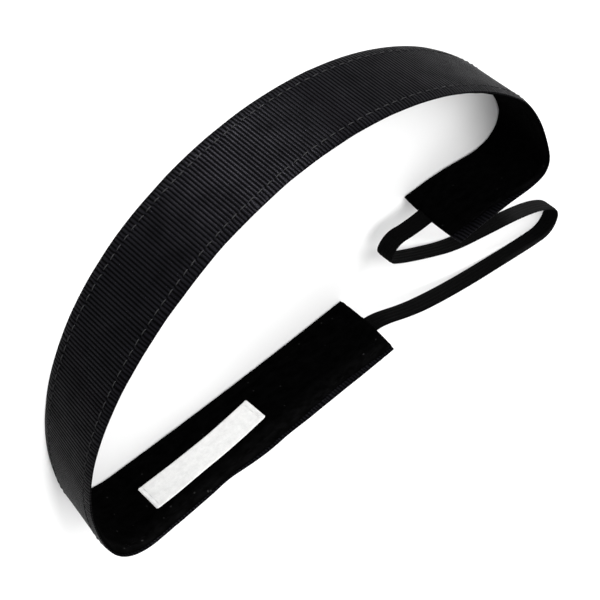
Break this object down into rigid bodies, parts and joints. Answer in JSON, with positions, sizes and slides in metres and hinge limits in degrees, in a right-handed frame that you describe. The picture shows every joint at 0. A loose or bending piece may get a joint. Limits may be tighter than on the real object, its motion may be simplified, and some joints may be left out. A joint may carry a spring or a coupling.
{
  "type": "sports headband",
  "caption": "Soft sports headband: ribbed grosgrain ribbon lined with velvet, its ends joined by a narrow flat elastic, with a blank woven label inside.",
  "frame": {"origin": "middle of the sewn band's footprint, on the surface that it stands on, the free elastic left out", "axes": "+Z across the ribbon's width, from its lower edge to its upper edge; +X along the longest side of the loop; the near arc is at -Y and the gap that the elastic closes is at +Y"},
  "size_m": [0.1642, 0.166, 0.0254],
  "materials": {
    "grosgrain": "ribbed grosgrain weave, low sheen",
    "velvet": "cut velvet pile, matt",
    "elastic": "woven flat elastic, lengthwise ribs",
    "label": "fine woven satin, white, blank",
    "black_thread": "spun polyester sewing thread",
    "white_thread": "spun polyester sewing thread"
  },
  "bodies": {
    "root": {"grosgrain_ribbon": "grosgrain", "velvet_lining": "velvet", "woven_label": "label", "elastic_tail_label_end": "elastic", "elastic_tail_plain_end": "elastic", "elastic_strap": "elastic", "top_seam_needle_thread": "black_thread", "top_seam_bobbin_thread": "black_thread", "bottom_seam_needle_thread": "black_thread", "bottom_seam_bobbin_thread": "black_thread", "label_end_needle_thread": "black_thread", "label_end_bobbin_thread": "black_thread", "plain_end_needle_thread": "black_thread", "plain_end_bobbin_thread": "black_thread", "label_thread": "white_thread"}
  },
  "joints": []
}
